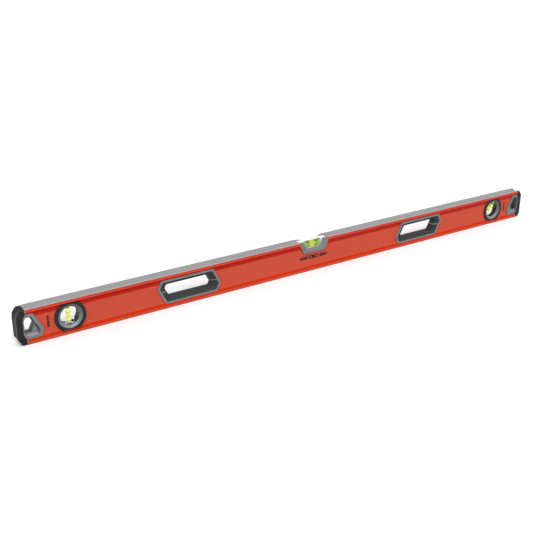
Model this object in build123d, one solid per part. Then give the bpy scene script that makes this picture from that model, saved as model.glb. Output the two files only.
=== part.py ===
from build123d import *
import os

# A box-section spirit level of the 120 cm size, in millimetres.
# +X runs along the level, the front faces -Y and +Z is up.
# The origin is the middle of the bottom measuring face.

# overall sizes
profile_length = 1172
section_height = 63
section_width = 25.6
cap_reach = 16.5          # each end cap stands this far out past the profile

profile_end = profile_length / 2
half_length = profile_end + cap_reach
half_height = section_height / 2
half_width = section_width / 2
mid_height = half_height

# profile section, measured inwards from each corner
flange_face = 5.0         # height of the painted flange face
slope_end = 9.6           # where the steep slope under the flange ends
slope_depth = 2.2
web_start = 14.8          # where the shallow slope reaches the flat web
recess = 3.0              # depth of the web below the flange
web_wall = 2.2
flange_wall = 3.0
rib_offset = 15.5         # the two inner ribs, from mid height
rib_wall = 1.8
edge_radius = 0.5

# general fits
slack = 0.1               # between a piece and the hole it sits in
seam = 0.05               # half of the gap where two mating pieces meet
overrun = 1.0             # how far a cut runs out past the body that it cuts

# hand holes
handle_x = 281
handle_tip = (65.3, -7.4)
handle_low_corner = (57.3, -23.2)
handle_high_corner = (49.5, 23.2)
handle_corner_radius = 3.5
handle_front = 1.1        # depth of the frame's face below the flange face
handle_band = 4.0         # width of the frame's visible band
handle_lip = 2.0          # how far the frame laps over the web
frame_barrel_depth = 6.5
grip_tip = (49.3, -6.7)
grip_low_corner = (45.5, -13.0)
grip_high_corner = (39.1, 13.0)
grip_corner_radius = 2.5
pad_front = 1.7           # depth of the rubber's outer edge
pad_bevel_end = 6.0       # depth where the bevel meets the straight grip
pad_mouth = 0.6           # width of the pad's flat edge beside the frame
tip_rib = 2.0             # thickness of the frame's rib between the pads
rib_root = 2.0            # how far the rib's root reaches in from the frame

# end vials
vial_x = 510
ring_radius = 28.3
ring_flat = 24.1          # half height across the flats
ring_front = 0.9
ring_lip = 2.3
ring_edge = 0.9
ring_clearance = 0.3      # the ring's barrel is this much nearer to the flats
ring_groove_trim = 0.8    # the groove ends this far from the flats
ring_groove_radius = 25.0
ring_groove_width = 0.9
ring_groove_depth = 0.5
bezel_seat_radius = 22.0
bezel_front = 1.3
bezel_rim = 1.1
bezel_depth = 5.7
bezel_window_radius = 16.8
bezel_edge = 1.1
shelf_radius = 17.3
shelf_end = 7.6
mount_radius = 20.3
mount_window_radius = 16.9
end_block_width = 17.0
end_block_thickness = 10.0
end_block_length = 33.0
end_bore_radius = 4.3
end_fluid_length = 26.0
end_bubble_radius = 2.7
end_bubble_length = 9.0
end_bubble_travel = 7.5
end_line_gap = 10.6       # distance between the two reading lines
angle_lean = 45           # degrees that the second end vial leans from upright

# centre vial
cutout_top = 33.9         # half widths and heights of the cut-out in the profile
cutout_bottom = 23.6
cutout_floor = 41.0
plate_top = 35.2          # half widths and heights of the bezel's plate
plate_shoulder = 57.7
plate_bottom = 25.4
plate_floor = 39.0
plate_corner_radius = 3.0
plate_front = 0.3
plate_back = 5.2
plate_lip = 0.4           # straight edge before the plate's bevel starts
shoulder_step = 1.2
top_gap = 0.4             # the bezels stop this far below the measuring face
band_top = 30.0           # where the flat band turns into the bevel
band_bottom = 21.6
band_floor = 43.4
window_top = 20.8
window_bottom = 16.8
window_floor = 47.4
cradle_top = 61.4
cradle_floor = 46.0
cradle_span = 39.6        # clear width between the cradle's two sockets
tube_height = 53.5        # the vial tube's axis above the bottom face
tube_radius = 6.6
tube_length = 47.0
centre_bore_radius = 5.2
centre_fluid_length = 37.0
centre_bubble_radius = 3.3
centre_bubble_length = 13.5
centre_bubble_lift = 1.4
centre_bubble_travel = 9.0
centre_line_gap = 15.0

# parts of every vial
channel_slack = 0.2       # room between a bubble and the liquid round it
line_width = 0.6
line_wall = 0.35
line_offset = 0.25        # liquid to reading line
block_edge = 0.6
tube_edge = 0.5

# end inserts and caps, drawn as distances inwards from the end of the profile, and heights
insert_outline = [(-3, 53), (11, 53), (27.5, 22), (23.5, 10.5), (-3, 10.5)]
insert_corner_radius = 2.0
insert_front = 1.2
insert_lip = 1.5
insert_plate = 1.5
spigot_length = 9
spigot_slack = 0.4
hang_hole = [(-0.5, 47.5), (6, 47.5), (15.3, 33.5), (8, 18.5), (-2.5, 18.5), (-3.6, 24), (-3.6, 43)]
hang_corner_radius = 1.5
hang_pocket = [(-0.8, 49), (8.6, 49), (22.8, 22.3), (20.2, 14.5), (-2.3, 14.5), (-4.1, 20), (-4.1, 43.5)]
hang_pocket_floor = 5.4   # depth of the pocket round the hang hole
hang_pocket_slope = 3.4   # how far its walls lean in on the way down
hang_ring = [(1, 53), (-3, 52.4), (-6, 44.5), (-6, 19.5), (-3, 11.2), (1, 10.5)]
cap_outline = [(2, 62.4), (-8.5, 62.4), (-15, 54), (-16.5, 45), (-16.5, 11.5), (-10.5, 1.4), (2, 1.4)]
cap_half_width = 12.6
cap_corner = 1.4          # chamfer down both corners of the end face
cap_channel_outer = 7.2   # half widths of the channel that runs over the cap
cap_channel_inner = 4.4
cap_channel_depth = 1.5

parts_folder = "parts"


def save(name, shape):
    """Write one sub-part to its own STEP file."""
    export_step(shape, os.path.join(parts_folder, name + ".step"))


def slab(outline, y_low, y_high):
    """Extrude a sketch, drawn in X and Z, between two places on Y."""
    return extrude(Plane.XZ.offset(-y_high) * outline, amount=y_high - y_low, dir=(0, -1, 0))


def bar(section, x_low, x_high):
    """Extrude a sketch, drawn in Y and Z, between two places on X."""
    return extrude(Plane.YZ.offset(x_low) * section, amount=x_high - x_low, dir=(1, 0, 0))


def front(depth):
    """Y of a face that lies this deep behind the front flange face."""
    return depth - half_width


def polygon(points, radius=0):
    """A closed outline with every corner rounded alike."""
    face = Polygon(*points, align=None)
    if radius:
        face = fillet(face.vertices(), radius)
    return face


def rear_of(shape):
    """The matching piece on the rear face."""
    return mirror(shape, about=Plane.XZ)


def flat_sided_disc(radius, flat):
    """A round outline cut off level at top and bottom."""
    return Circle(radius) & Rectangle(2 * radius, 2 * flat)


def six_sided(tip, low_corner, high_corner, radius):
    """A long hexagon that is the same when turned half a turn."""
    right = [high_corner, tip, low_corner]
    left = [(-x, -z) for x, z in right]
    return polygon(right + left, radius)


def along_y(radius, y_low, y_high):
    """A cylinder on the Y axis."""
    return slab(Circle(radius), y_low, y_high)


# profile

def outer_section():
    quarter = [
        (half_width, half_height),
        (half_width, half_height - flange_face),
        (half_width - slope_depth, half_height - slope_end),
        (half_width - recess, half_height - web_start),
    ]
    right = quarter + [(y, -z) for y, z in reversed(quarter)]
    left = [(-y, z) for y, z in reversed(right)]
    return Pos(0, mid_height) * polygon(right + left, edge_radius)


def hollow_cells():
    inner = half_width - recess - web_wall
    wide = half_width - flange_wall
    rib_in = rib_offset - rib_wall / 2
    rib_out = rib_offset + rib_wall / 2
    middle = Rectangle(2 * inner, 2 * rib_in)
    points = [
        (wide, half_height - flange_wall),
        (wide, half_height - flange_face - overrun),
        (inner, half_height - web_start + web_wall),
        (inner, rib_out),
    ]
    upper = polygon(points + [(-y, z) for y, z in reversed(points)], edge_radius)
    lower = mirror(upper, about=Plane.XZ)
    return Pos(0, mid_height) * (middle + upper + lower)


def web_holes():
    """Everything that is milled through both webs."""
    vial_hole = flat_sided_disc(ring_radius - ring_lip, ring_flat - ring_lip + ring_clearance)
    holes = [Pos(side * vial_x, mid_height) * vial_hole for side in (-1, 1)]
    handle_hole = offset(handle_outline(), -handle_lip)
    holes.append(Pos(-handle_x, mid_height) * handle_hole)
    holes.append(Pos(handle_x, mid_height) * mirror(handle_hole, about=Plane.YZ))
    holes.append(centre_cutout(0))
    for side in (-1, 1):
        holes.append(insert_shape(side, insert_outline, insert_corner_radius))
    return [slab(hole, -half_width - overrun, half_width + overrun) for hole in holes]


def make_profile():
    profile = bar(outer_section() - hollow_cells(), -profile_end, profile_end)
    for hole in web_holes():
        profile -= hole
    return profile


# hand holes

def handle_outline():
    return six_sided(handle_tip, handle_low_corner, handle_high_corner, handle_corner_radius)


def grip_outline():
    return six_sided(grip_tip, grip_low_corner, grip_high_corner, grip_corner_radius)


def bevel_between(large, small, depth_large, depth_small):
    """The funnel that a bevel removes, on the front side."""
    outer = Plane.XZ.offset(-front(depth_large)) * large
    inner = Plane.XZ.offset(-front(depth_small)) * small
    return loft([outer, inner], ruled=True)


def grip_body(opening):
    """Everything between the frames' openings and the clear grip, bevelled front and rear."""
    depth = half_width - pad_front
    body = slab(opening, -depth, depth) - slab(grip_outline(), -half_width, half_width)
    mouth = offset(opening, -pad_mouth)
    funnel = bevel_between(mouth, grip_outline(), pad_front, pad_bevel_end)
    return body - funnel - rear_of(funnel)


def make_handle():
    """One hand hole at the origin: front and rear frames, upper and lower pads."""
    outline = handle_outline()
    opening = offset(outline, -handle_band)
    band = slab(outline, front(handle_front), front(recess)) - envelope_at_origin()
    barrel = slab(offset(outline, -handle_lip - slack), front(handle_front), front(frame_barrel_depth))
    frame = band + barrel - slab(opening, -half_width, half_width)
    body = grip_body(offset(opening, -seam))
    front_half = Pos(0, -half_width / 2 - seam, 0)
    rib = body & front_half * Box(handle_x, half_width, tip_rib)
    root = slab(opening, front(pad_front), front(frame_barrel_depth)) & Box(handle_x, section_width, tip_rib)
    root -= slab(offset(opening, -rib_root), -half_width, half_width)
    front_frame = frame + rib + root
    pads = (body - Box(handle_x, section_width, tip_rib + 2 * slack)).solids()
    upper_pad = max(pads, key=lambda solid: solid.center().Z)
    lower_pad = min(pads, key=lambda solid: solid.center().Z)
    return {
        "front_frame": front_frame,
        "rear_frame": rear_of(front_frame),
        "upper_pad": upper_pad,
        "lower_pad": lower_pad,
    }


def envelope_at_origin():
    """The profile's outer shape, centred on its own middle, for fitting pieces over its slopes."""
    return Pos(0, 0, -mid_height) * bar(outer_section(), -handle_x / 2, handle_x / 2)


# vials

def capsule(radius, length):
    body = Cylinder(radius, length - 2 * radius)
    for side in (-1, 1):
        body += Pos(0, 0, side * (length / 2 - radius)) * Sphere(radius)
    return body


def make_vial(body, length, bore, fluid_length, bubble_size, lift, travel, line_gap):
    """A vial with its bore along Z; the bubble sits nearer to the -X side by lift."""
    bubble_radius, bubble_length = bubble_size
    fluid_top = fluid_length / 2
    bore_length = length / 2 + fluid_top + overrun
    body -= Pos(0, 0, fluid_top - bore_length / 2) * Cylinder(bore, bore_length)
    plug_length = length / 2 - fluid_top
    plug = Pos(0, 0, -fluid_top - plug_length / 2) * Cylinder(bore - seam, plug_length - 2 * seam)
    fluid = Cylinder(bore - seam, fluid_length - 2 * seam)
    fluid = fillet(fluid.edges(), bore / 2)
    place = Pos(-lift, 0, 0)
    fluid -= place * capsule(bubble_radius + channel_slack, bubble_length + 2 * travel + 2 * channel_slack)
    bubble = place * capsule(bubble_radius, bubble_length)
    inner = bore + line_offset
    line = Cylinder(inner + line_wall, line_width) - Cylinder(inner, line_width)
    lines = [Pos(0, 0, side * line_gap / 2) * line for side in (-1, 1)]
    for ring in lines:
        body -= ring
    return {"body": body, "plug": plug, "fluid": fluid, "bubble": bubble, "lines": Compound(children=lines)}


def end_block_shape():
    return Box(end_block_width + 2 * seam, end_block_thickness + 2 * seam, end_block_length + 2 * seam)


def make_end_vial():
    """The block vial of one end with the ring that holds its corners, upright at the origin."""
    block = Box(end_block_width, end_block_thickness, end_block_length)
    block = fillet(block.edges(), block_edge)
    pieces = make_vial(
        block, end_block_length, end_bore_radius, end_fluid_length,
        (end_bubble_radius, end_bubble_length), 0, end_bubble_travel, end_line_gap,
    )
    pieces["block"] = pieces.pop("body")
    depth = half_width - shelf_end - seam
    mount = along_y(mount_radius, -depth, depth) - along_y(mount_window_radius, -depth, depth)
    pieces["mount"] = mount - end_block_shape()
    return pieces


def make_ring():
    """The black ring of one face, round the origin."""
    outline = flat_sided_disc(ring_radius, ring_flat)
    flange = slab(outline, front(ring_front), front(recess))
    flange = fillet(flange.edges().group_by(Axis.Y)[0], ring_edge) - envelope_at_origin()
    lip = ring_lip + slack
    barrel_outline = flat_sided_disc(ring_radius - lip, ring_flat - lip + ring_clearance)
    barrel = slab(barrel_outline, front(recess - ring_groove_depth), -seam)
    ring = flange + barrel
    ring -= along_y(bezel_seat_radius, front(0), front(bezel_depth))
    ring -= along_y(shelf_radius, front(0), front(shelf_end))
    ring -= along_y(mount_radius + slack, front(shelf_end), 0)
    groove_out = ring_groove_radius + ring_groove_width / 2
    groove_in = ring_groove_radius - ring_groove_width / 2
    groove_end = front(ring_front + ring_groove_depth)
    groove = along_y(groove_out, front(0), groove_end) - along_y(groove_in, front(0), groove_end)
    groove = groove & Box(4 * ring_radius, section_width, 2 * (ring_flat - ring_groove_trim))
    return ring - groove


def make_bezel():
    """The grey cone between the ring and the vial, round the origin."""
    outer = bezel_seat_radius - slack
    points = [
        (outer, front(bezel_front)),
        (outer, front(bezel_depth) - seam),
        (bezel_window_radius, front(bezel_depth) - seam),
        (bezel_window_radius, front(bezel_depth - bezel_edge)),
        (outer - bezel_rim, front(bezel_front)),
    ]
    return revolve(polygon(points), Axis.Y)


# centre holder

def centre_cutout(inset):
    """The cut-out in the top of the profile, drawn in X and Z."""
    top = section_height + overrun
    slot = [(cutout_top - inset, top), (cutout_top - inset, plate_shoulder + inset)]
    shoulder = (cutout_top - shoulder_step - inset, plate_shoulder + inset)
    right = slot + [shoulder, (cutout_bottom - inset, cutout_floor + inset)]
    return polygon(right + [(-x, z) for x, z in reversed(right)])


def u_opening(top, bottom, floor):
    """An opening that runs out through the top, drawn in X and Z."""
    rise = section_height + overrun
    right = [(top, rise), (top, plate_shoulder), (bottom, floor)]
    return polygon(right + [(-x, z) for x, z in reversed(right)])


def make_centre_bezel():
    corners = [(plate_top, plate_shoulder), (plate_bottom, plate_floor)]
    plate = polygon(corners + [(-x, z) for x, z in reversed(corners)])
    low = [corner for corner in plate.vertices() if corner.Y < plate_shoulder - overrun]
    plate = fillet(low, plate_corner_radius)
    envelope = bar(outer_section(), -3 * plate_top, 3 * plate_top)
    lap = slab(plate, front(plate_front), front(recess)) - envelope
    body = slab(centre_cutout(slack), front(plate_front), front(plate_back))
    bezel = lap + body
    wide = u_opening(band_top, band_bottom, band_floor)
    narrow = u_opening(window_top, window_bottom, window_floor)
    bezel -= bevel_between(wide, narrow, plate_front + plate_lip, plate_back)
    bezel -= slab(wide, front(0), front(plate_front + plate_lip))
    above = Pos(0, 0, section_height - top_gap + half_height)
    return bezel - above * Box(4 * plate_top, section_width, section_height)


def make_cradle():
    """The white holder with a socket at each end of the tube."""
    depth = half_width - plate_back - seam
    body = slab(centre_cutout(3 * slack), -depth, depth)
    over = Pos(0, 0, cradle_top + half_height) * Box(4 * plate_top, section_width, section_height)
    gap = Pos(0, 0, cradle_floor + half_height) * Box(cradle_span, section_width, section_height)
    socket = Cylinder(tube_radius + seam, tube_length + 2 * seam)
    return body - over - gap - tube_place() * socket


def tube_place():
    """Turns a vial that was made upright to lie along the level at the centre."""
    return Pos(0, 0, tube_height) * Rot(0, 90, 0)


def make_centre_vial():
    tube = Cylinder(tube_radius, tube_length)
    tube = fillet(tube.edges(), tube_edge)
    pieces = make_vial(
        tube, tube_length, centre_bore_radius, centre_fluid_length,
        (centre_bubble_radius, centre_bubble_length), centre_bubble_lift,
        centre_bubble_travel, centre_line_gap,
    )
    pieces["tube"] = pieces.pop("body")
    return {name: tube_place() * shape for name, shape in pieces.items()}


# ends

def insert_shape(side, points, radius=0):
    """An outline given as distances inwards from one end of the profile, in X and Z."""
    placed = [(side * (profile_end - inwards), height) for inwards, height in points]
    return polygon(placed, radius)


def make_insert():
    """The grey insert of the left end."""
    side = -1
    notch = insert_shape(side, insert_outline, insert_corner_radius)
    envelope = bar(outer_section(), -profile_end - 2 * cap_reach, -profile_end + 3 * cap_reach)
    deep = half_width - insert_front
    core = slab(offset(notch, -slack), -deep, deep)
    lap = slab(offset(notch, insert_lip), -deep, deep) - envelope
    over_profile = Pos(-profile_end + half_length / 2, 0, mid_height)
    lap = lap & over_profile * Box(half_length, 2 * section_width, 2 * section_height)
    end_face = -profile_end - seam
    flange_plate = bar(outer_section(), end_face - insert_plate, end_face)
    ring = slab(insert_shape(side, hang_ring, hang_corner_radius), -deep, deep)
    insert = core + lap + flange_plate + ring
    for direction in (-1, 1):
        insert += spigot(direction, end_face)
    insert -= slab(insert_shape(side, hang_hole, hang_corner_radius), -half_width, half_width)
    mouth = insert_shape(side, hang_pocket)
    pocket = bevel_between(mouth, offset(mouth, -hang_pocket_slope), insert_front, hang_pocket_floor)
    return insert - pocket - rear_of(pocket)


def spigot(direction, end_face):
    """A tongue that locates the insert in the upper or lower cell of the profile."""
    inner = half_width - recess - web_wall - spigot_slack
    low = rib_offset + rib_wall / 2 + spigot_slack
    high = half_height - flange_wall - spigot_slack
    section = Pos(0, mid_height + direction * (low + high) / 2) * Rectangle(2 * inner, high - low)
    return bar(section, end_face - insert_plate, end_face + spigot_length)


def make_cap():
    """The black rubber cap of the left end, with a shallow channel that runs over it."""
    side = -1
    outline = insert_shape(side, cap_outline)
    inset = offset(outline, -cap_channel_depth)
    shape = slab(inset, -cap_channel_inner, cap_channel_inner)
    outer_plane = Plane.XZ.offset(cap_channel_outer)
    inner_plane = Plane.XZ.offset(cap_channel_inner)
    slope = loft([inner_plane * inset, outer_plane * outline], ruled=True)
    cheek = slab(outline, -cap_half_width, -cap_channel_outer)
    shape = shape + slope + rear_of(slope) + cheek + rear_of(cheek)
    corner = [(half_length - cap_corner, cap_half_width), (half_length, cap_half_width - cap_corner)]
    plan = [(0, cap_half_width)] + corner
    plan = [(side * x, y) for x, y in plan]
    plan = plan + [(x, -y) for x, y in reversed(plan)]
    shape = shape & extrude(polygon(plan), amount=section_height, dir=(0, 0, 1))
    seat = -profile_end - insert_plate - 2 * seam
    inboard = Pos(seat + half_length / 2, 0, mid_height)
    shape -= inboard * Box(half_length, 2 * section_width, 2 * section_height)
    ring = insert_shape(side, hang_ring, hang_corner_radius)
    return shape - slab(offset(ring, seam), -half_width, half_width)


def make_parts():
    nodes = {"profile": make_profile()}

    handle = make_handle()
    for name, piece in handle.items():
        nodes["left_grip_" + name] = Pos(-handle_x, 0, mid_height) * piece
        nodes["right_grip_" + name] = Pos(handle_x, 0, mid_height) * mirror(piece, about=Plane.YZ)

    ring = make_ring()
    bezel = make_bezel()
    vial = make_end_vial()
    for name, side, lean in (("plumb", -1, 0), ("angle", 1, angle_lean)):
        place = Pos(side * vial_x, 0, mid_height)
        nodes[name + "_front_ring"] = place * ring
        nodes[name + "_rear_ring"] = place * rear_of(ring)
        nodes[name + "_front_bezel"] = place * bezel
        nodes[name + "_rear_bezel"] = place * rear_of(bezel)
        for piece_name, piece in vial.items():
            nodes[name + "_vial_" + piece_name] = place * Rot(0, lean, 0) * piece

    centre_bezel = make_centre_bezel()
    nodes["centre_front_bezel"] = centre_bezel
    nodes["centre_rear_bezel"] = rear_of(centre_bezel)
    nodes["centre_cradle"] = make_cradle()
    for piece_name, piece in make_centre_vial().items():
        nodes["centre_vial_" + piece_name] = piece

    insert = make_insert()
    cap = make_cap()
    nodes["left_end_insert"] = insert
    nodes["left_end_cap"] = cap
    nodes["right_end_insert"] = mirror(insert, about=Plane.YZ)
    nodes["right_end_cap"] = mirror(cap, about=Plane.YZ)
    return nodes


os.makedirs(parts_folder, exist_ok=True)
for node_name, node_shape in make_parts().items():
    save(node_name, node_shape)
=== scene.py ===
import math
import bmesh
import bpy
from mathutils import Matrix, Vector


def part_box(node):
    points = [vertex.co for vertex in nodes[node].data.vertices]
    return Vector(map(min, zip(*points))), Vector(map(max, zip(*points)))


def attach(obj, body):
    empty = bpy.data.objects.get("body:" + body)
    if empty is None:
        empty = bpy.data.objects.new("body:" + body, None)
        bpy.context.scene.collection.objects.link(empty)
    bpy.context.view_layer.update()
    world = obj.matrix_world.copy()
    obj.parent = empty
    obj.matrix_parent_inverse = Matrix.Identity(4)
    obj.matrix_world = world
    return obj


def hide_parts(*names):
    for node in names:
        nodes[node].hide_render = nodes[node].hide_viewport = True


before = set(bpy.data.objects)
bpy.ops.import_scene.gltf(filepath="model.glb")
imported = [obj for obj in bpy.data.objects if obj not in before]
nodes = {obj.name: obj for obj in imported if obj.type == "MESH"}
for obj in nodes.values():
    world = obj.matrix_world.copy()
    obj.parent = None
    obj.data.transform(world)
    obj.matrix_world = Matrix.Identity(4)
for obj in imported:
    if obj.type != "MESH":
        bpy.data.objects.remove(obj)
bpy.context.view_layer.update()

mm = 0.001
profileLow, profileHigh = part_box("profile")
webDepthMm = 3.0
frontFace = profileLow.y                 # the painted flange face that looks forward
webFace = frontFace + webDepthMm * mm    # the flat web lies behind it
noiseLow, noiseHigh = 0.3, 0.7           # nearly all of a noise texture's values lie between these
print("frame loaded:", len(nodes), "parts")


def linear(hexColour):
    # sRGB hex to the linear colour that the shaders want
    parts = [int(hexColour[i:i + 2], 16) / 255 for i in (1, 3, 5)]
    return [c / 12.92 if c <= 0.04045 else ((c + 0.055) / 1.055) ** 2.4 for c in parts] + [1.0]


def addNode(tree, kind, settings=None, links=None):
    # one node with its settings (attributes or input values) and its incoming links
    node = tree.nodes.new(kind)
    for key, value in (settings or {}).items():
        if isinstance(key, str) and hasattr(node, key):
            setattr(node, key, value)
        else:
            node.inputs[key].default_value = value
    for key, source in (links or {}).items():
        tree.links.new(source, node.inputs[key])
    return node


def startMaterial(name, shaderValues):
    material = bpy.data.materials.new(name)
    material.use_nodes = True
    tree = material.node_tree
    shader = tree.nodes["Principled BSDF"]
    for key, value in shaderValues.items():
        shader.inputs[key].default_value = value
    return material, tree, shader


def setRamp(node, stops):
    # stops is a list of (position, hex colour)
    ramp = node.color_ramp
    while len(ramp.elements) > 1:
        ramp.elements.remove(ramp.elements[-1])
    for index, (position, hexColour) in enumerate(stops):
        element = ramp.elements[0] if index == 0 else ramp.elements.new(position)
        element.position = position
        element.color = linear(hexColour)


def wear(material, piece):
    piece.data.materials.clear()
    piece.data.materials.append(material)


# Extruded aluminium, red polyester powder coat, measuring faces milled bare afterwards.
# The eye sees fine orange peel, a soft gloss, and grey faces with long cutter marks.
coatLook = {
    "web": "#C04B37", "underSlope": "#A00200", "gentleUnder": "#B41C00", "upperSlope": "#C02C04",
    "lip": "#CC3210", "lipMm": (3.4, 2.2),
    "mottleMm": 6.0, "mottle": (0.97, 1.03),
    "ringXMm": 510.0, "cornerMm": (15.5, 18.5), "slopeMm": (24.6, 2.1), "cornerShade": 0.1, "ledgeShade": 0.6,
    "specular": 0.07, "clearCoat": 0.03, "clearCoatRoughness": 0.15,
    "roughness": 0.36, "orangePeelMm": 1.1, "orangePeelDepthMm": 0.02, "relief": 0.35,
    "milled": "#C4C4C4", "milledRearShade": "#A6A8AA", "milledFrontSheen": "#C4D6DB", "milledRoughness": 0.42,
    "bareHeightMm": 0.12, "cutterMarkMm": 0.55, "cutterMarksPerMetre": 1.2, "cutterMarks": (0.86, 1.1),
}


def makeCoatedAluminium():
    look = coatLook
    material, tree, shader = startMaterial("powder_coated_extruded_aluminium", {
        "Specular IOR Level": look["specular"], "Coat Roughness": look["clearCoatRoughness"],
        "Coat Weight": look["clearCoat"]})
    geometry = addNode(tree, "ShaderNodeNewGeometry")
    place = addNode(tree, "ShaderNodeTexCoord").outputs["Object"]
    axes = addNode(tree, "ShaderNodeSeparateXYZ", links={0: place})
    normal = addNode(tree, "ShaderNodeSeparateXYZ", links={0: geometry.outputs["Normal"]})
    # painted shade and reflection: the colour follows the way a face looks: down, forward or up; faces looking down are
    # painted a dark deep red, upright ones a paler red, and those looking up an orange red
    tilt = addNode(tree, "ShaderNodeMapRange", {1: -0.5, 2: 0.5}, {0: normal.outputs["Z"]})
    coat = addNode(tree, "ShaderNodeValToRGB", links={0: tilt.outputs[0]})
    setRamp(coat, [(0.0, look["underSlope"]), (0.22, look["underSlope"]), (0.33, look["gentleUnder"]),
                   (0.37, look["gentleUnder"]), (0.45, look["web"]), (0.68, look["web"]),
                   (0.8, look["upperSlope"])])
    # fine mottling of the coat's pigment
    mottle = addNode(tree, "ShaderNodeTexNoise", {"Scale": 1 / (look["mottleMm"] * mm), "Detail": 4.0},
                     {"Vector": place})
    mottleAmount = addNode(tree, "ShaderNodeMapRange", {
        1: noiseLow, 2: noiseHigh, 3: look["mottle"][0], 4: look["mottle"][1]}, {0: mottle.outputs["Fac"]})
    # how far a point is from the middle height tells the milled faces from the coat
    halfHeight = profileHigh.z / 2
    fromMiddle = addNode(tree, "ShaderNodeMath", {"operation": "SUBTRACT", 1: halfHeight},
                         {0: axes.outputs["Z"]})
    height = addNode(tree, "ShaderNodeMath", {"operation": "ABSOLUTE"}, {0: fromMiddle.outputs[0]})
    # painted highlight: a brighter, more saturated orange red is painted along the upper edge, where the rounded top
    # edge catches the light
    nearEdge = addNode(tree, "ShaderNodeMapRange", {
        1: halfHeight - look["lipMm"][0] * mm, 2: halfHeight - look["lipMm"][1] * mm},
        {0: fromMiddle.outputs[0]})
    edgeHighlighted = addNode(tree, "ShaderNodeMix", {"data_type": "RGBA", 7: linear(look["lip"])},
                     {0: nearEdge.outputs[0], 6: coat.outputs["Color"]})
    # painted shadow and reflection: the gloss coat is painted nearly black on the slope above each vial ring, standing
    # in for the ring's shade and its mirrored black, and painted a little darker on the slope below it
    beside = addNode(tree, "ShaderNodeMath", {"operation": "ABSOLUTE"}, {0: axes.outputs["X"]})
    offRing = addNode(tree, "ShaderNodeMath", {"operation": "SUBTRACT", 1: look["ringXMm"] * mm},
                      {0: beside.outputs[0]})
    ringSide = addNode(tree, "ShaderNodeMath", {"operation": "ABSOLUTE"}, {0: offRing.outputs[0]})
    nearRing = addNode(tree, "ShaderNodeMapRange", {
        1: look["cornerMm"][1] * mm, 2: look["cornerMm"][0] * mm}, {0: ringSide.outputs[0]})
    onSlope = addNode(tree, "ShaderNodeMath", {
        "operation": "COMPARE", 1: look["slopeMm"][0] * mm, 2: look["slopeMm"][1] * mm},
        {0: height.outputs[0]})
    corner = addNode(tree, "ShaderNodeMath", {"operation": "MULTIPLY"},
                     {0: nearRing.outputs[0], 1: onSlope.outputs[0]})
    ringShadeByFacing = addNode(tree, "ShaderNodeMapRange", {
        1: -0.3, 2: 0.3, 3: look["cornerShade"], 4: look["ledgeShade"]}, {0: normal.outputs["Z"]})
    kept = addNode(tree, "ShaderNodeMix", {"data_type": "FLOAT", 2: 1.0},
                   {0: corner.outputs[0], 3: ringShadeByFacing.outputs[0]})
    shaded = addNode(tree, "ShaderNodeMath", {"operation": "MULTIPLY"},
                     {0: mottleAmount.outputs[0], 1: kept.outputs[0]})
    mottledAndShaded = addNode(tree, "ShaderNodeMix", {"data_type": "RGBA", "blend_type": "MULTIPLY", "Factor": 1.0},
                      {6: edgeHighlighted.outputs[2], 7: shaded.outputs[0]})

    # cutter marks run the whole length, so their noise is stretched along X
    bare = addNode(tree, "ShaderNodeMath", {
        "operation": "GREATER_THAN", 1: halfHeight - look["bareHeightMm"] * mm}, {0: height.outputs[0]})
    stretch = (look["cutterMarksPerMetre"], 1 / (look["cutterMarkMm"] * mm), 1.0)
    stretched = addNode(tree, "ShaderNodeVectorMath", {"operation": "MULTIPLY", 1: stretch}, {0: place})
    marks = addNode(tree, "ShaderNodeTexNoise", {"Scale": 1.0, "Detail": 3.0, "Roughness": 0.6},
                    {"Vector": stretched.outputs[0]})
    # painted reflection and shade: the milled faces are painted bluish white along their front edge and darker along
    # their rear edge
    across = addNode(tree, "ShaderNodeMapRange", {1: profileLow.y, 2: profileHigh.y}, {0: axes.outputs["Y"]})
    milled = addNode(tree, "ShaderNodeValToRGB", links={0: across.outputs[0]})
    setRamp(milled, [(0.0, look["milledFrontSheen"]), (0.1, look["milledFrontSheen"]), (0.24, look["milled"]),
                     (0.88, look["milled"]), (1.0, look["milledRearShade"])])
    markAmount = addNode(tree, "ShaderNodeMapRange", {
        1: noiseLow, 2: noiseHigh, 3: look["cutterMarks"][0], 4: look["cutterMarks"][1]},
        {0: marks.outputs["Fac"]})
    milledColour = addNode(tree, "ShaderNodeMix", {
        "data_type": "RGBA", "blend_type": "MULTIPLY", "Factor": 1.0},
        {6: milled.outputs["Color"], 7: markAmount.outputs[0]})

    colour = addNode(tree, "ShaderNodeMix", {"data_type": "RGBA"},
                     {0: bare.outputs[0], 6: mottledAndShaded.outputs[2], 7: milledColour.outputs[2]})
    tree.links.new(colour.outputs[2], shader.inputs["Base Color"])
    tree.links.new(bare.outputs[0], shader.inputs["Metallic"])
    rough = addNode(tree, "ShaderNodeMapRange", {
        1: 0.0, 2: 1.0, 3: look["roughness"], 4: look["milledRoughness"]}, {0: bare.outputs[0]})
    tree.links.new(rough.outputs[0], shader.inputs["Roughness"])

    peel = addNode(tree, "ShaderNodeTexNoise", {"Scale": 1 / (look["orangePeelMm"] * mm), "Detail": 1.0},
                   {"Vector": place})
    relief = addNode(tree, "ShaderNodeMix", {"data_type": "FLOAT"},
                     {0: bare.outputs[0], 2: peel.outputs["Fac"], 3: marks.outputs["Fac"]})
    bump = addNode(tree, "ShaderNodeBump", {
        "Strength": look["relief"], "Distance": look["orangePeelDepthMm"] * mm}, {"Height": relief.outputs[0]})
    tree.links.new(bump.outputs[0], shader.inputs["Normal"])
    return material
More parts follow.
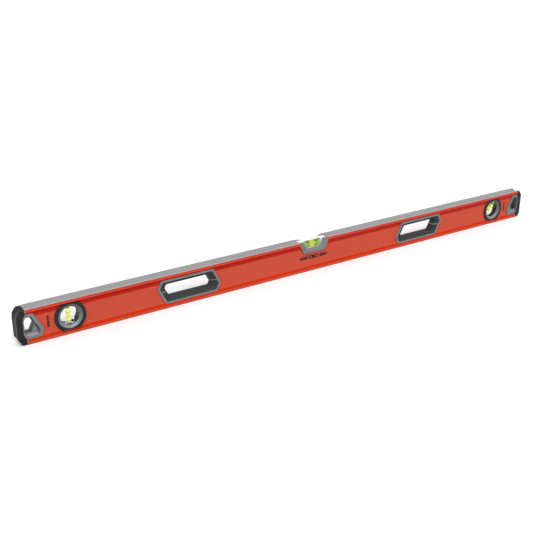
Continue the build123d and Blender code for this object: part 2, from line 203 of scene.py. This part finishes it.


# A moulded plastic or rubber: grain in the tool gives an even fine stipple. Painted shade and light: the tone goes from
# "under" on faces that look down, through "face" on upright ones, to "over" on those that look up.
def makeMoulded(name, look):
    material, tree, shader = startMaterial(name, {"IOR": 1.52, "Specular IOR Level": look["specular"]})
    place = addNode(tree, "ShaderNodeTexCoord").outputs["Object"]
    geometry = addNode(tree, "ShaderNodeNewGeometry")
    normal = addNode(tree, "ShaderNodeSeparateXYZ", links={0: geometry.outputs["Normal"]})
    # painted shade and light: the tone follows which way a face looks
    tilt = addNode(tree, "ShaderNodeMapRange", {1: -1.0, 2: 1.0}, {0: normal.outputs["Z"]})
    tone = addNode(tree, "ShaderNodeValToRGB", links={0: tilt.outputs[0]})
    setRamp(tone, [(0.15, look["under"]), (0.5, look["face"]), (0.85, look["over"])])
    # flow clouds in the pigment
    cloud = addNode(tree, "ShaderNodeTexNoise", {"Scale": 1 / (look["cloudMm"] * mm), "Detail": 3.0},
                    {"Vector": place})
    amount = addNode(tree, "ShaderNodeMapRange", {
        1: noiseLow, 2: noiseHigh, 3: 1 - look["cloud"], 4: 1 + look["cloud"]}, {0: cloud.outputs["Fac"]})
    # painted shade: walls that look along -X are painted darker
    if "wallShade" in look:      # walls that look along -X stand in the shade of their pocket
        wall = addNode(tree, "ShaderNodeMapRange", {1: -0.6, 2: -0.2, 3: look["wallShade"], 4: 1.0},
                       {0: normal.outputs["X"]})
        amount = addNode(tree, "ShaderNodeMath", {"operation": "MULTIPLY"},
                         {0: amount.outputs[0], 1: wall.outputs[0]})
    # painted shade: a hole right through is painted dark inside
    if "holeShade" in look:      # and a hole right through goes dark inside
        axes = addNode(tree, "ShaderNodeSeparateXYZ", links={0: place})
        side = addNode(tree, "ShaderNodeMath", {"operation": "ABSOLUTE"}, {0: axes.outputs["Y"]})
        hole = addNode(tree, "ShaderNodeMapRange", {
            1: look["holeFromMm"] * mm, 2: look["holeToMm"] * mm, 3: look["holeShade"], 4: 1.0},
            {0: side.outputs[0]})
        amount = addNode(tree, "ShaderNodeMath", {"operation": "MULTIPLY"},
                         {0: amount.outputs[0], 1: hole.outputs[0]})
    colour = addNode(tree, "ShaderNodeMix", {"data_type": "RGBA", "blend_type": "MULTIPLY", "Factor": 1.0},
                     {6: tone.outputs["Color"], 7: amount.outputs[0]})
    tree.links.new(colour.outputs[2], shader.inputs["Base Color"])
    grain = addNode(tree, "ShaderNodeTexNoise", {"Scale": 1 / (look["grainMm"] * mm), "Detail": 2.0},
                    {"Vector": place})
    shine = addNode(tree, "ShaderNodeMapRange", {
        1: noiseLow, 2: noiseHigh, 3: look["roughness"] - 0.06, 4: look["roughness"] + 0.08},
        {0: grain.outputs["Fac"]})
    tree.links.new(shine.outputs[0], shader.inputs["Roughness"])
    bump = addNode(tree, "ShaderNodeBump", {
        "Strength": look["bump"], "Distance": look["grainDepthMm"] * mm}, {"Height": grain.outputs["Fac"]})
    tree.links.new(bump.outputs[0], shader.inputs["Normal"])
    return material


# ABS, satin spark-eroded tool: an even mid grey
satinSurface = {"specular": 0.5, "cloud": 0.04, "cloudMm": 9.0,
                "grainMm": 0.45, "bump": 0.25, "grainDepthMm": 0.02}
greyAbsLook = {**satinSurface, "under": "#55585A", "face": "#6C6F71", "over": "#747678", "roughness": 0.42}
# the same ABS in the round bezels, with painted shade and light: the cone is painted pale below and dark to one side
shadedBezelAbsLook = {**satinSurface, "under": "#3C3E40", "face": "#6A6D6F", "over": "#8E8F94", "roughness": 0.38,
                "wallShade": 0.8}
# and in the end inserts, with painted shade: a deep pocket with a painted shaded wall, and a hole painted dark inside
shadedInsertAbsLook = {**satinSurface, "under": "#4A4C4E", "face": "#6C6F71", "over": "#88888C", "roughness": 0.42,
                 "wallShade": 0.42, "holeShade": 0.35, "holeFromMm": 4.6, "holeToMm": 5.6}
# ABS, black, half gloss: soft highlights along the ring's rounded edge
blackAbsLook = {"under": "#0D1113", "face": "#191E20", "over": "#1D2224", "roughness": 0.4, "specular": 0.28,
                "cloud": 0.08, "cloudMm": 7.0, "grainMm": 0.5, "bump": 0.2, "grainDepthMm": 0.02}
# Thermoplastic rubber: nearly black, dry grain, with a soft shine on its rounded edges
rubberLook = {"under": "#090A0B", "face": "#0C0D0E", "over": "#1C1E20", "roughness": 0.5, "specular": 0.3,
              "cloud": 0.12, "cloudMm": 5.0, "grainMm": 0.7, "bump": 0.5, "grainDepthMm": 0.05}
# The same rubber, softer grade for the grip, painted a slightly paler grey: painted light, as the pads catch more light
# from above
gripRubberLook = {"under": "#1C1D1E", "face": "#232425", "over": "#303132", "roughness": 0.55, "specular": 0.35,
                  "cloud": 0.1, "cloudMm": 5.0, "grainMm": 0.7, "bump": 0.5, "grainDepthMm": 0.05}
# ABS, white, glossy: it throws light into the vial from below
whiteAbsLook = {"under": "#E6E6E4", "face": "#F0F0EE", "over": "#F6F6F4", "roughness": 0.25, "specular": 0.5,
                "cloud": 0.02, "cloudMm": 8.0, "grainMm": 0.6, "bump": 0.1, "grainDepthMm": 0.01}
# Pad-printed black ink: flat, a touch uneven where the pad lifts
inkLook = {"under": "#181314", "face": "#181314", "over": "#1C1718", "roughness": 0.5, "specular": 0.2,
           "cloud": 0.15, "cloudMm": 1.6, "grainMm": 0.4, "bump": 0.15, "grainDepthMm": 0.01}


# Acrylic, polished: water-clear, with faint drag lines from the saw. The milled blocks bend light
# less than the drawn tube, so that each bore shows once.
blockAcrylicLook = {"tint": "#FAFDFB", "ior": 1.09, "roughness": 0.015, "haze": 0.05, "dragMm": 2.5}
tubeAcrylicLook = {"tint": "#FAFDFB", "ior": 1.36, "roughness": 0.015, "haze": 0.05, "dragMm": 4.0}


def makeAcrylic(name, look):
    material, tree, shader = startMaterial(name, {
        "Base Color": linear(look["tint"]), "IOR": look["ior"], "Transmission Weight": 1.0})
    place = addNode(tree, "ShaderNodeTexCoord").outputs["Object"]
    drag = addNode(tree, "ShaderNodeTexNoise", {"Scale": 1 / (look["dragMm"] * mm), "Detail": 2.0},
                   {"Vector": place})
    rough = addNode(tree, "ShaderNodeMapRange", {
        1: noiseLow, 2: noiseHigh, 3: look["roughness"], 4: look["roughness"] + look["haze"]},
        {0: drag.outputs["Fac"]})
    tree.links.new(rough.outputs[0], shader.inputs["Roughness"])
    return material


# Dyed vial spirit: a painted glow stands in for the dye's fluorescence, and the colour is painted deeper towards the
# bore's ends
def makeLiquid(name, look):
    material, tree, shader = startMaterial(name, {
        "Roughness": look["roughness"], "IOR": look["ior"], "Transmission Weight": look["clear"],
        "Emission Strength": look["glow"]})
    place = addNode(tree, "ShaderNodeTexCoord").outputs["Object"]
    axes = addNode(tree, "ShaderNodeSeparateXYZ", links={0: place})
    along = addNode(tree, "ShaderNodeMath", {"operation": "ABSOLUTE"}, {0: axes.outputs["Z"]})
    share = addNode(tree, "ShaderNodeMath", {"operation": "DIVIDE", 1: look["halfMm"] * mm},
                    {0: along.outputs[0]})
    wisp = addNode(tree, "ShaderNodeTexNoise", {"Scale": 1 / (look["wispMm"] * mm), "Detail": 2.0},
                   {"Vector": place})
    shift = addNode(tree, "ShaderNodeMapRange", {
        1: noiseLow, 2: noiseHigh, 3: -look["wisp"], 4: look["wisp"]}, {0: wisp.outputs["Fac"]})
    where = addNode(tree, "ShaderNodeMath", {"operation": "ADD"},
                    {0: share.outputs[0], 1: shift.outputs[0]})
    tone = addNode(tree, "ShaderNodeValToRGB", links={0: where.outputs[0]})
    setRamp(tone, look["tones"])
    tree.links.new(tone.outputs["Color"], shader.inputs["Base Color"])
    tree.links.new(tone.outputs["Color"], shader.inputs["Emission Color"])
    return material


spirit = {"ior": 1.36, "roughness": 0.05, "clear": 0.8, "wispMm": 3.0, "wisp": 0.03}
yellowLook = {**spirit, "glow": 0.3, "halfMm": 13.0, "tones": [
    (0.0, "#F1F194"), (0.6, "#EEEF8A"), (0.7, "#E2E376"), (0.86, "#DFE272"), (0.93, "#8DB858"), (1.0, "#5E9140")]}
greenLook = {**spirit, "glow": 0.2, "halfMm": 18.5, "tones": [
    (0.0, "#E6EA62"), (0.34, "#DFE656"), (0.42, "#86B048"), (0.66, "#6A9D40"), (0.78, "#A3CA54"), (1.0, "#B5D858")]}


# Air in spirit: a painted glow makes it pale and bright against the dye, and a darker rim is painted where it bends
# light the other way
def makeBubbleAir():
    look = {"middle": "#DADAD2", "rim": "#8E9480", "ior": 1.2, "glow": 0.12, "clear": 0.35, "roughness": 0.05}
    material, tree, shader = startMaterial("air_bubble_in_spirit", {
        "IOR": look["ior"], "Transmission Weight": look["clear"], "Roughness": look["roughness"],
        "Emission Color": linear(look["middle"]), "Emission Strength": look["glow"]})
    facing = addNode(tree, "ShaderNodeLayerWeight", {"Blend": 0.4})
    tone = addNode(tree, "ShaderNodeValToRGB", links={0: facing.outputs["Facing"]})
    setRamp(tone, [(0.45, look["middle"]), (0.8, look["rim"])])
    tree.links.new(tone.outputs["Color"], shader.inputs["Base Color"])
    return material


coatedAluminium = makeCoatedAluminium()
greyAbs = makeMoulded("moulded_grey_abs", greyAbsLook)
shadedBezelAbs = makeMoulded("grey_abs_bezel_painted_shade", shadedBezelAbsLook)
shadedInsertAbs = makeMoulded("grey_abs_insert_painted_shade", shadedInsertAbsLook)
blackAbs = makeMoulded("moulded_black_abs", blackAbsLook)
blackRubber = makeMoulded("moulded_black_rubber", rubberLook)
gripRubber = makeMoulded("grip_rubber_painted_lighter", gripRubberLook)
whiteAbs = makeMoulded("moulded_white_abs", whiteAbsLook)
printInk = makeMoulded("pad_printed_black_ink", inkLook)
castAcrylic = makeAcrylic("polished_cast_acrylic", blockAcrylicLook)
drawnAcrylic = makeAcrylic("drawn_acrylic_tube", tubeAcrylicLook)
yellowSpirit = makeLiquid("dyed_yellow_spirit", yellowLook)
greenSpirit = makeLiquid("dyed_green_spirit", greenLook)
bubbleAir = makeBubbleAir()
print("materials made")


def finishPiece(name, mesh, material, body, place=None, stands=()):
    mesh.normal_update()
    data = bpy.data.meshes.new(name)
    mesh.to_mesh(data)
    mesh.free()
    piece = bpy.data.objects.new(name, data)
    bpy.context.scene.collection.objects.link(piece)
    if place is not None:
        piece.matrix_world = place
    wear(material, piece)
    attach(piece, body)
    if stands:
        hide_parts(*stands)
    return piece


def turned(points, around=64):
    # revolves (radius, height) points in mm about Z; the ends close on the axis
    mesh = bmesh.new()
    rings = []
    turn = [2 * math.pi * i / around for i in range(around)]
    for radius, height in points:
        spots = [(radius * math.cos(a), radius * math.sin(a), height) for a in turn] if radius > 0 else [(0, 0, height)]
        rings.append([mesh.verts.new([along * mm for along in spot]) for spot in spots])
    for low, high in zip(rings, rings[1:]):
        for i in range(around):
            j = (i + 1) % around
            if len(low) == 1:
                mesh.faces.new((low[0], high[i], high[j]))
            elif len(high) == 1:
                mesh.faces.new((low[j], low[i], high[0]))
            else:
                mesh.faces.new((low[i], low[j], high[j], high[i]))
    if len(rings[0]) > 1 and len(rings[-1]) > 1:      # an open tube becomes a closed ring
        for i in range(around):
            j = (i + 1) % around
            mesh.faces.new((rings[-1][i], rings[-1][j], rings[0][j], rings[0][i]))
    bmesh.ops.recalc_face_normals(mesh, faces=mesh.faces)
    for face in mesh.faces:
        face.smooth = True
    return mesh


def softBlock(width, thickness, length, edge, segments=3):
    mesh = bmesh.new()
    bmesh.ops.create_cube(mesh, size=1.0)
    bmesh.ops.scale(mesh, vec=(width * mm, thickness * mm, length * mm), verts=mesh.verts)
    bmesh.ops.bevel(mesh, geom=list(mesh.edges), offset=edge * mm, segments=segments, affect="EDGES", profile=0.5)
    return mesh


def roundedBar(halfLength, radius, corner, middleSwell=0.0, steps=10):
    # a bore filled with liquid: barrel-shaped, with rounded ends
    shoulder = halfLength - corner
    quarter = [math.pi / 2 * i / steps for i in range(steps + 1)]
    bend = [(radius - corner + corner * math.sin(a), shoulder + corner * math.cos(a)) for a in quarter]
    points = [(0.0, -halfLength)] + [(r, -height) for r, height in bend]
    for i in range(1, steps):
        height = (-1 + 2 * i / steps) * shoulder
        points.append((radius + middleSwell * (1 - (height / halfLength) ** 2), height))
    return points + bend[::-1] + [(0.0, halfLength)]


def bubbleShape(halfLength, radius, bluntness=2.6, steps=22):
    # longer than round, blunter than an ellipse at both ends
    points = []
    for i in range(steps + 1):
        angle = math.pi * i / steps
        height = -math.cos(angle)
        points.append((radius * max(0.0, 1 - abs(height) ** bluntness) ** 0.5, height * halfLength))
    points[0] = (0.0, -halfLength)
    points[-1] = (0.0, halfLength)
    return points


def ringBand(inner, outer, middle, width, edge):
    low, high = middle - width / 2, middle + width / 2
    return [(inner, low + edge), (inner + edge, low), (outer - edge, low), (outer, low + edge),
            (outer, high - edge), (outer - edge, high), (inner + edge, high), (inner, high - edge)]


def plugShape(radius, start, end, chamfer=0.4, startRise=0.4):
    return [(0.0, start), (radius - chamfer, start), (radius, start + startRise),
            (radius, end - chamfer), (radius - chamfer, end), (0.0, end)]


def middleOf(node):
    low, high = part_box(node)
    return (low + high) / 2


def fillBore(label, spec, spirit, bubbleBody, place, bubblePlace, around=64):
    # the liquid and its bubble
    liquid = roundedBar(spec["liquidHalfMm"], spec["boreMm"], spec["liquidCornerMm"], spec["swellMm"])
    finishPiece(label + "_spirit", turned(liquid, around), spirit, "level", place, [label + "_vial_fluid"])
    bubble = turned(bubbleShape(spec["bubbleHalfMm"], spec["bubbleMm"]), 48)
    finishPiece(label + "_air", bubble, bubbleAir, bubbleBody, bubblePlace, [label + "_vial_bubble"])


def addReadingLines(label, words, spec, place):
    inner = spec["boreMm"] + spec["lineLiftMm"]
    for side, word in zip((-1, 1), words):
        middle = side * spec["lineGapMm"] / 2
        band = turned(ringBand(inner, inner + spec["lineDepthMm"], middle, spec["lineMm"], spec["lineEdgeMm"]))
        stands = [label + "_vial_lines"] if side == 1 else []
        finishPiece(label + "_reading_line_" + word, band, printInk, "level", place, stands)


endVial = {
    "widthMm": 17.0, "thicknessMm": 10.0, "lengthMm": 33.0, "edgeMm": 0.7,
    "boreMm": 3.8, "liquidHalfMm": 13.0, "liquidCornerMm": 2.2, "swellMm": 0.12,
    "bubbleHalfMm": 4.4, "bubbleMm": 2.5,
    "lineGapMm": 10.6, "lineMm": 0.7, "lineLiftMm": 0.25, "lineDepthMm": 0.35, "lineEdgeMm": 0.08,
    "plugMm": 3.3, "plugInsetMm": 0.25, "plugRiseMm": 0.35, "plugGapMm": 0.1,
}


def buildEndVial(label, bubbleBody, lean):
    spec = endVial
    place = Matrix.Translation(middleOf(label + "_vial_block")) @ Matrix.Rotation(math.radians(lean), 4, "Y")
    block = softBlock(spec["widthMm"], spec["thicknessMm"], spec["lengthMm"], spec["edgeMm"])
    finishPiece(label + "_acrylic_block", block, castAcrylic, "level", place, [label + "_vial_block"])
    fillBore(label, spec, yellowSpirit, bubbleBody, place, place)
    start, end = -spec["lengthMm"] / 2 + spec["plugInsetMm"], -spec["liquidHalfMm"] - spec["plugGapMm"]
    plug = turned(plugShape(spec["plugMm"], start, end, startRise=spec["plugRiseMm"]))
    finishPiece(label + "_plug", plug, whiteAbs, "level", place, [label + "_vial_plug"])
    addReadingLines(label, ("low", "high"), spec, place)


buildEndVial("plumb", "plumb_bubble", 0)
buildEndVial("angle", "angle_bubble", 45)
print("end vials built")


centreVial = {
    "tubeMm": 6.6, "halfMm": 23.5, "edgeMm": 0.6, "edgeSteps": 8, "around": 72,
    "boreMm": 5.15, "liquidHalfMm": 18.5, "liquidCornerMm": 3.0, "swellMm": 0.15,
    "bubbleHalfMm": 6.7, "bubbleMm": 3.5, "bubbleLiftMm": 1.84,
    "lineGapMm": 15.0, "lineMm": 0.7, "lineLiftMm": 0.32, "lineDepthMm": 0.35, "lineEdgeMm": 0.08,
    "plugMm": 4.85, "plugInsetMm": 0.3, "plugGapMm": 0.15,
}


def buildCentreVial():
    spec = centreVial
    place = Matrix.Translation(middleOf("centre_vial_tube")) @ Matrix.Rotation(math.radians(90), 4, "Y")
    tube = turned(roundedBar(spec["halfMm"], spec["tubeMm"], spec["edgeMm"], 0.0, spec["edgeSteps"]), spec["around"])
    finishPiece("centre_acrylic_tube", tube, drawnAcrylic, "level", place, ["centre_vial_tube"])
    lifted = Matrix.Translation((0, 0, spec["bubbleLiftMm"] * mm)) @ place
    fillBore("centre", spec, greenSpirit, "centre_bubble", place, lifted, spec["around"])
    start, end = -spec["halfMm"] + spec["plugInsetMm"], -spec["liquidHalfMm"] - spec["plugGapMm"]
    plug = turned(plugShape(spec["plugMm"], start, end))
    finishPiece("centre_plug", plug, whiteAbs, "level", place, ["centre_vial_plug"])
    addReadingLines("centre", ("left", "right"), spec, place)


buildCentreVial()
print("centre vial built")


mouldedFinish = [
    ("_frame", greyAbs, 0.35), ("_insert", shadedInsertAbs, 0.35), ("_bezel", shadedBezelAbs, 0.25), ("_ring", blackAbs, 0.3),
    ("_mount", blackAbs, 0.2), ("_cradle", whiteAbs, 0.3), ("_pad", gripRubber, 0.5), ("_cap", blackRubber, 0.7),
]


edgeWork = {"joinMm": 0.002, "flatDeg": 1.0, "sharpDeg": 32.0, "segments": 2}


def softenEdges(part, edgeMm):
    # joins the loose faces, drops the flat ones' inner edges, then rounds what is left sharp
    weld = part.modifiers.new("weld", "WELD")
    weld.merge_threshold = edgeWork["joinMm"] * mm
    flat = part.modifiers.new("flatten", "DECIMATE")
    flat.decimate_type = "DISSOLVE"
    flat.angle_limit = math.radians(edgeWork["flatDeg"])
    bevel = part.modifiers.new("edge", "BEVEL")
    bevel.width = edgeMm * mm
    bevel.segments = edgeWork["segments"]
    bevel.limit_method = "ANGLE"
    bevel.angle_limit = math.radians(edgeWork["sharpDeg"])
    bevel.use_clamp_overlap = True
    normals = part.modifiers.new("normals", "WEIGHTED_NORMAL")
    normals.keep_sharp = False


for nodeName, part in nodes.items():
    if nodeName == "profile":
        wear(coatedAluminium, part)
        continue
    for ending, material, edgeMm in mouldedFinish:
        if nodeName.endswith(ending):
            # the centre window's bezel is flat-sided, so it keeps the plain grey
            wear(greyAbs if nodeName.startswith("centre") and material is shadedBezelAbs else material, part)
            softenEdges(part, edgeMm)
print("frame parts finished")


markSpec = {
    "thicknessMm": 0.05, "liftMm": 0.01,
    "wideXMm": 0.0, "wideZMm": 28.3, "tallMm": 8.0,
    "signMm": 27.0, "signShare": 0.92, "strokeMm": 2.0, "signCornerMm": 3.5,
    "signBubbleMm": 8.5, "signBubbleShare": 0.4, "signBubbleCornerMm": 1.5,
    "signLineXMm": 6.9, "signLineMm": 1.3, "signLineShare": 0.62,
    "bars": 5, "barStartMm": 17.2, "barPitchMm": 3.7, "barMm": 3.0, "barSlant": 0.3, "barShare": (0.98, 0.09),
    "uprightXMm": (-549.0, 548.0), "uprightZMm": 32.0, "uprightMm": (4.8, 22.0),
    "uprightBars": 9, "uprightBarMm": 1.9, "shortBar": 0.7,
}


def printedShape(mesh, outline, face):
    # a closed flat outline in X and Z (mm), given the ink's thickness
    back = webFace - markSpec["liftMm"] * mm if face < 0 else -webFace + markSpec["liftMm"] * mm
    front = back + face * markSpec["thicknessMm"] * mm
    low = [mesh.verts.new((x * mm, back, z * mm)) for x, z in outline]
    high = [mesh.verts.new((x * mm, front, z * mm)) for x, z in outline]
    mesh.faces.new(low)
    mesh.faces.new(list(reversed(high)))
    for i in range(len(low)):
        j = (i + 1) % len(low)
        mesh.faces.new((low[j], low[i], high[i], high[j]))


def barOutline(x, z, wide, tall, slant=0.0, corner=0.0, steps=4):
    half, rise = wide / 2, tall / 2
    corner = min(corner, half * 0.98, rise * 0.98)
    if corner <= 0:
        points = [(-half, -rise), (half, -rise), (half, rise), (-half, rise)]
    else:
        points = []
        for cx, cz, start in ((half - corner, -rise + corner, -90), (half - corner, rise - corner, 0),
                              (-half + corner, rise - corner, 90), (-half + corner, -rise + corner, 180)):
            for i in range(steps + 1):
                angle = math.radians(start + 90 * i / steps)
                points.append((cx + corner * math.cos(angle), cz + corner * math.sin(angle)))
    return [(x + px + slant * pz, z + pz) for px, pz in points]


def frameOutline(mesh, x, z, wide, tall, stroke, corner, face):
    # a rounded frame, as four strokes and four quarter turns of ink
    outer = barOutline(x, z, wide, tall, 0.0, corner)
    inner = barOutline(x, z, wide - 2 * stroke, tall - 2 * stroke, 0.0, corner - stroke)
    for i in range(len(outer)):
        j = (i + 1) % len(outer)
        printedShape(mesh, [outer[i], outer[j], inner[j], inner[i]], face)


def makeWideMark(name, face):
    # a long vial sign with its bubble and reading lines, between slanted bars
    spec = markSpec
    mesh = bmesh.new()
    x, z, tall = spec["wideXMm"], spec["wideZMm"], spec["tallMm"]
    signTall, bubbleTall = tall * spec["signShare"], tall * spec["signBubbleShare"]
    frameOutline(mesh, x, z, spec["signMm"], signTall, spec["strokeMm"], spec["signCornerMm"], face)
    bubble = barOutline(x, z, spec["signBubbleMm"], bubbleTall, 0.0, spec["signBubbleCornerMm"])
    printedShape(mesh, bubble, face)
    for side in (-1, 1):
        lineX = x + side * spec["signLineXMm"]
        printedShape(mesh, barOutline(lineX, z, spec["signLineMm"], tall * spec["signLineShare"]), face)
        for i in range(spec["bars"]):
            barX = x + side * (spec["barStartMm"] + spec["barPitchMm"] * i)
            rise = tall * (spec["barShare"][0] - spec["barShare"][1] * i)
            printedShape(mesh, barOutline(barX, z, spec["barMm"], rise, spec["barSlant"]), face)
    bmesh.ops.recalc_face_normals(mesh, faces=mesh.faces)
    finishPiece(name, mesh, printInk, "level")


def makeUprightMark(name, x, face):
    # a stack of short graduations beside the end vial
    spec = markSpec
    mesh = bmesh.new()
    wide, tall = spec["uprightMm"]
    count = spec["uprightBars"]
    for i in range(count):
        z = spec["uprightZMm"] + ((i + 0.5) / count - 0.5) * tall
        width = wide if i % 2 == 0 else wide * spec["shortBar"]
        printedShape(mesh, barOutline(x, z, width, spec["uprightBarMm"]), face)
    bmesh.ops.recalc_face_normals(mesh, faces=mesh.faces)
    finishPiece(name, mesh, printInk, "level")


for face, word in ((-1, "front"), (1, "rear")):
    makeWideMark("wide_mark_" + word, face)
    for x, side in zip(markSpec["uprightXMm"], ("left", "right")):
        makeUprightMark("upright_mark_" + side + "_" + word, x, face)
print("printed marks made")


studio = {
    "paper": "#FBFBFB", "paperDark": "#F5F5F5", "fibresPerMetre": 60.0, "floorSizeM": 80.0, "floorDropMm": 0.2,
    "worldStrength": 0.62,
    "sunStrength": 2.15, "sunSpreadDeg": 55.0, "sunFrom": (-0.35, -0.5, 1.0),
    "lensMm": 57.7956, "sensorMm": 36.0, "cameraPlace": (-0.9566515, -1.2749717, 0.6638218),
    "cameraTurnDeg": (67.42649, -0.19995, -33.62633),
}


def makeFloor():
    mesh = bmesh.new()
    half = studio["floorSizeM"] / 2
    bmesh.ops.create_grid(mesh, x_segments=8, y_segments=8, size=half)
    data = bpy.data.meshes.new("paper_floor")
    mesh.to_mesh(data)
    mesh.free()
    floor = bpy.data.objects.new("paper_floor", data)
    bpy.context.scene.collection.objects.link(floor)
    floor.location = (0, 0, -studio["floorDropMm"] * mm)
    # matt coated paper: an even white with no shine, a shade darker where the fibres clump
    paper, tree, shader = startMaterial("matt_white_paper", {"Roughness": 0.9, "Specular IOR Level": 0.1})
    place = addNode(tree, "ShaderNodeTexCoord").outputs["Object"]
    fibre = addNode(tree, "ShaderNodeTexNoise", {"Scale": studio["fibresPerMetre"], "Detail": 2.0}, {"Vector": place})
    tone = addNode(tree, "ShaderNodeValToRGB", links={0: fibre.outputs["Fac"]})
    setRamp(tone, [(noiseLow, studio["paperDark"]), (noiseHigh, studio["paper"])])
    tree.links.new(tone.outputs["Color"], shader.inputs["Base Color"])
    wear(paper, floor)


def makeSun():
    lamp = bpy.data.lights.new("high_softbox", "SUN")
    lamp.energy = studio["sunStrength"]
    lamp.angle = math.radians(studio["sunSpreadDeg"])
    holder = bpy.data.objects.new("high_softbox", lamp)
    bpy.context.scene.collection.objects.link(holder)
    holder.rotation_euler = Vector(studio["sunFrom"]).to_track_quat("Z", "Y").to_euler()


def makeCamera():
    lens = bpy.data.cameras.new("view")
    lens.lens = studio["lensMm"]
    lens.sensor_width = studio["sensorMm"]
    lens.clip_end = 200.0
    camera = bpy.data.objects.new("view", lens)
    bpy.context.scene.collection.objects.link(camera)
    camera.location = studio["cameraPlace"]
    camera.rotation_euler = [math.radians(a) for a in studio["cameraTurnDeg"]]
    bpy.context.scene.camera = camera


world = bpy.data.worlds.new("white_room")
bpy.context.scene.world = world
world.use_nodes = True
world.node_tree.nodes["Background"].inputs[0].default_value = (1, 1, 1, 1)
world.node_tree.nodes["Background"].inputs[1].default_value = studio["worldStrength"]
makeFloor()
makeSun()
makeCamera()
bpy.context.scene.view_settings.view_transform = "Standard"
print("studio ready")
